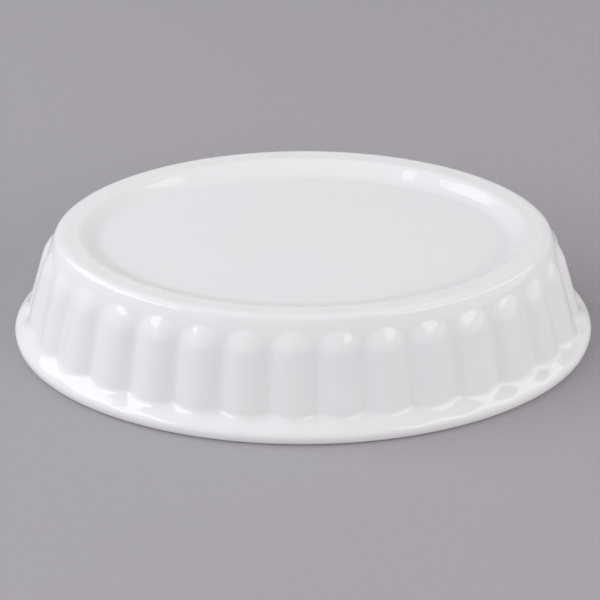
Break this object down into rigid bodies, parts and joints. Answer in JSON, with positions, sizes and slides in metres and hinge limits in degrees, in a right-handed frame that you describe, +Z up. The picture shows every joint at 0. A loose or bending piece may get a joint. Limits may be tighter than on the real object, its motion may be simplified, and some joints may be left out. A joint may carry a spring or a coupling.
{
  "type": "creme brulee dish",
  "caption": "Shallow oval ribbed baking dish of white glazed porcelain with a flared rim, a bare foot ring and a recessed underside, stored upside down.",
  "frame": {"origin": "middle of the rim plane, which the dish stands on when it is upside down", "axes": "+X along the long side, +Y along the short side, +Z up from the rim to the foot; turn it half round X to use it"},
  "size_m": [0.1524, 0.1016, 0.0323],
  "materials": {
    "biscuit": "matt fired porcelain",
    "glaze": "clear gloss glaze over white porcelain"
  },
  "bodies": {
    "root": {"porcelain_body": "biscuit", "outer_glaze": "glaze", "inner_glaze": "glaze", "base_glaze": "glaze"}
  },
  "joints": []
}
